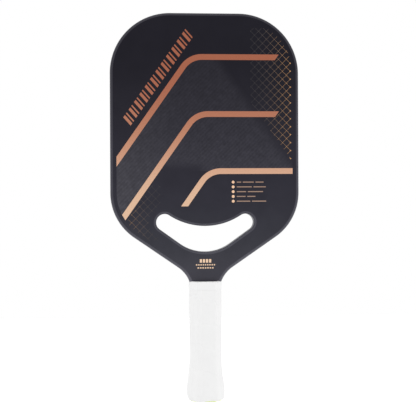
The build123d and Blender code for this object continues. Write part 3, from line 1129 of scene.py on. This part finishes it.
def wrap_surface():
    """Outer skin from top to bottom, a rounded lower lip, and the inner skin back up.

    Each ring is the octagon at that height's growth. The spiral sinks the skin by a bell curve of
    the distance from the line: height plus turn angle times pitch over a full turn."""
    heights = np.linspace(wrap_top, wrap_low + wrap_lip, 260)
    growth = smooth_growth(heights, wrap_levels, wrap_growths)
    rings = np.stack([octagon(g, padded_corner(g)) for g in growth])
    angle = np.arctan2(rings[..., 1], rings[..., 0])
    line = heights[:, None] / turn_pitch + angle / (2 * math.pi)
    away = (line - np.round(line)) * turn_pitch
    dip = seam_depth * np.exp(-((away / seam_width) ** 2))
    fade = np.clip((heights[:, None] - seam_start) / seam_fade, 0, 1)
    inward = 1 - dip * fade / np.linalg.norm(rings, axis=-1)
    rings = rings * inward[..., None]
    near_edge = np.clip(1 - (heights[:, None] - wrap_low) / edge_fade, 0, 1)
    notch = np.exp(-(((rings[..., 0] - notch_place) / notch_reach) ** 4)) * (rings[..., 1] < 0)
    aside = np.clip(np.abs(rings[..., 0]) / (half_tang + wrap_growths[1]), 0, 1) ** 2
    lifted = heights[:, None] + near_edge * (notch_height * notch + corner_rise * aside)
    outer = np.concatenate([rings, lifted[..., None]], axis=-1)
    lip = []
    for turn_angle in np.linspace(0.15, 1.0, 7) * math.pi / 2:
        inset = lip_share * wrap_lip * (1 - math.cos(turn_angle))
        scale = 1 - inset / np.linalg.norm(rings[-1], axis=-1, keepdims=True)
        drop = outer[-1, :, 2] - wrap_lip * math.sin(turn_angle)
        lip.append(np.concatenate([rings[-1] * scale, drop[:, None]], axis=-1))
    inner_heights = np.linspace(wrap_low + inner_lift, wrap_top, 40)
    base = np.interp(inner_heights, wrap_levels, inner_growths)
    inner = np.stack([octagon(g, inner_corner) for g in base])
    inner = np.concatenate(
        [inner, np.broadcast_to(inner_heights[:, None, None], inner.shape[:2] + (1,))], axis=-1
    )
    inner[:3, :, 2] += lip[-1][None, :, 2] - wrap_low
    return np.concatenate([outer, np.stack(lip), inner])


wrap_points = wrap_surface()
rows, columns = wrap_points.shape[:2]
wrap = make_piece(
    "cushion_wrap", wrap_points, grid_faces(rows, columns, wrap_rows=True), wrap_skin, 50.0
)
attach(wrap, "root")
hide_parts("cushion_grip")
print("wrap", len(wrap.data.polygons), "faces, box", [round(v * 1000, 2) for v in wrap.dimensions])

# %% [markdown]
# ## Finishing tape
# A narrow vinyl tape closes the top of the wrap. It lies on the wrap, leans in over its end, and
# sticks to the neck, which leaves a thin dark line above the white.

# %% Tape band
tape_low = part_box("finishing_tape")[0].z
tape_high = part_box("finishing_tape")[1].z
tape_growth = 2.5 * MM
tape_thin = 0.3 * MM
tape_edge = 1.6 * MM
tape_chamfer = 0.12 * MM
neck_gap = 0.12 * MM  # between the tape's inner edge and the octagon of the handle


def tape_surface():
    """A closed band: outer skin up to a rounded shoulder, in to the neck, and down inside."""
    profile = [(tape_low, tape_growth - tape_chamfer), (tape_low + 0.1 * MM, tape_growth)]
    profile += [(z, tape_growth) for z in np.linspace(tape_low + 1 * MM, tape_high - tape_edge, 8)]
    turn = np.linspace(0.15, 1.0, 8) * math.pi / 2
    profile += [
        (tape_high - tape_edge + tape_edge * math.sin(t), tape_growth - tape_edge * (1 - math.cos(t)))
        for t in turn
    ]
    profile += [(tape_high, neck_gap), (tape_high - tape_thin, neck_gap)]
    profile += [(wrap_top, wrap_growths[-1]), (tape_low, wrap_growths[-1])]
    rings = []
    for z, growth in profile:
        ring = octagon(growth, padded_corner(growth))
        rings.append(np.insert(ring, 2, z, axis=1))
    return np.stack(rings)


tape_points = tape_surface()
rows, columns = tape_points.shape[:2]
tape = make_piece(
    "closing_tape", tape_points, grid_faces(rows, columns, wrap_rows=True), tape_skin, 50.0
)
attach(tape, "root")
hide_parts("finishing_tape")
print("tape", len(tape.data.polygons), "faces")

# %% [markdown]
# ## Butt cap
# The cap is a moulded cup whose skirt slides over the end of the handle. A shallow round seat in
# the underside of its floor takes a small medallion.

# %% Cap
cap_levels = np.array([0.0, 10.3, 33.0]) * MM
cap_growths = np.array([2.55, 3.45, 0.5]) * MM
cap_edge = 2.6 * MM
seat_radius = 9.15 * MM
seat_height = 1.9 * MM
cap_floor = 9.0 * MM
cap_top = cap_levels[-1]
seat_chamfer = 0.3 * MM
cap_clearance = 0.1 * MM  # between the skirt and the handle inside it


def cap_corner(growth):
    """Corner radius of the cap's section, rounder where it flares."""
    return 2.2 * MM + 0.5 * max(growth, 0.0)


def cap_surface():
    """Rings from the middle of the seat out over the base, up the skirt and down inside."""
    rings = []
    angle = np.arctan2(*octagon(0.0, 1 * MM).T[::-1])
    circle = np.stack([np.cos(angle), np.sin(angle)], axis=1)
    for radius, height in ((0.0, seat_height), (seat_radius * 0.5, seat_height),
                           (seat_radius, seat_height), (seat_radius, seat_chamfer),
                           (seat_radius + seat_chamfer, 0.0)):
        rings.append(np.insert(circle * radius, 2, height, axis=1))
    turn = np.linspace(0.0, 1.0, 9) * math.pi / 2
    for t in turn:
        height = cap_edge * (1 - math.cos(t))
        growth = np.interp(height, cap_levels, cap_growths) - cap_edge * (1 - math.sin(t))
        rings.append(np.insert(octagon(growth, cap_corner(growth)), 2, height, axis=1))
    for height in np.linspace(cap_edge, cap_top, 24)[1:]:
        growth = np.interp(height, cap_levels, cap_growths)
        rings.append(np.insert(octagon(growth, cap_corner(growth)), 2, height, axis=1))
    inner = octagon(cap_clearance, inner_corner)
    rings.append(np.insert(inner, 2, cap_top, axis=1))
    rings.append(np.insert(inner, 2, cap_floor, axis=1))
    rings.append(np.insert(inner * 0.5, 2, cap_floor, axis=1))
    rings.append(np.insert(inner * 0.0, 2, cap_floor, axis=1))
    return np.stack(rings)


cap_points = cap_surface()
rows, columns = cap_points.shape[:2]
cap = make_piece("flared_cap", cap_points, grid_faces(rows, columns), cap_skin, 40.0)
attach(cap, "root")
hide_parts("butt_cap")
print("cap", len(cap.data.polygons), "faces")

# %% [markdown]
# ## Pieces kept from the CAD
# The carbon sheets are flat and exact in the CAD, so they stay, as do the parts inside the
# sandwich. They still get real finishes: woven glass, veil, honeycomb, foam, film and steel wire.

# %% Finishes of the kept pieces
def plain_finish(name, low_code, high_code, scale, depth, values):
    """A mottled two-tone finish with a matching bump, for parts hidden in the paddle."""
    material, tree, shader = new_material(name, values)
    place = add(tree, "TexCoord").outputs["Object"]
    blotch = add(tree, "TexNoise", {"Vector": place, "Scale": scale, "Detail": 4.0}).outputs["Fac"]
    tone = add(tree, "ValToRGB", {"Fac": blotch}, steps=[(0.35, low_code), (0.65, high_code)])
    connect(tree, tone.outputs["Color"], shader, "Base Color")
    bump = add(tree, "Bump", {"Height": blotch, "Strength": 1.0, "Distance": depth})
    connect(tree, bump.outputs[0], shader, "Normal")
    return material


glass, tree, shader = new_material("glass_cloth_in_clear_epoxy", {"Roughness": 0.3})
place, axes, on_top, height = twill(tree)
shade = add(tree, "Math", {0: height, 1: on_top}, operation="MULTIPLY").outputs[0]
tone = add(tree, "ValToRGB", {"Fac": shade}, steps=[(0.0, "#A9B49A"), (1.0, "#C9D2BB")])
connect(tree, tone.outputs["Color"], shader, "Base Color")
connect(tree, coat_relief(tree, height, 0.02 * MM, 0.005 * MM), shader, "Normal")

veil = plain_finish("fused_polyester_veil", "#D8D8D2", "#EEEEE8", 900, 0.03 * MM, {"Roughness": 0.8})
comb = plain_finish(
    "extruded_polypropylene_honeycomb", "#C9C9C4", "#DAD9D2", 120, 0.02 * MM, {"Roughness": 0.45}
)
foam = plain_finish("expanded_edge_foam", "#3C3C40", "#55555A", 1400, 0.1 * MM, {"Roughness": 0.9})
handle_foam = plain_finish(
    "cast_polyurethane_foam", "#CDBF98", "#DCCFA9", 1200, 0.1 * MM, {"Roughness": 0.9}
)
pallet = plain_finish(
    "moulded_handle_pallet_plastic", "#232326", "#2E2E32", 600, 0.02 * MM, {"Roughness": 0.5}
)
film = plain_finish(
    "double_sided_adhesive_film", "#B79A62", "#C7AC74", 700, 0.01 * MM, {"Roughness": 0.25}
)
wire = plain_finish(
    "zinc_plated_staple_wire", "#A5A7AA", "#C3C5C8", 500, 0.005 * MM,
    {"Roughness": 0.32, "Metallic": 1.0},
)
medal = plain_finish(
    "moulded_grey_medallion_plastic", "#26262B", "#303036", 700, 0.01 * MM, {"Roughness": 0.3}
)

node_finishes = {
    "front_face_ply": black_coat,
    "back_face_ply": black_coat,
    "front_glass_ply": glass,
    "back_glass_ply": glass,
    "front_core_scrim": veil,
    "back_core_scrim": veil,
    "honeycomb_core": comb,
    "perimeter_foam": foam,
    "throat_foam": foam,
    "handle_core": handle_foam,
    "front_handle_pallet": pallet,
    "back_handle_pallet": pallet,
    "butt_cap_medallion": medal,
    "butt_cap_staples": wire,
    "grip_adhesive_strips": film,
}
for node, finish in node_finishes.items():
    mesh = nodes[node].data
    mesh.materials.clear()
    mesh.materials.append(finish)
print(len(node_finishes), "kept pieces finished")
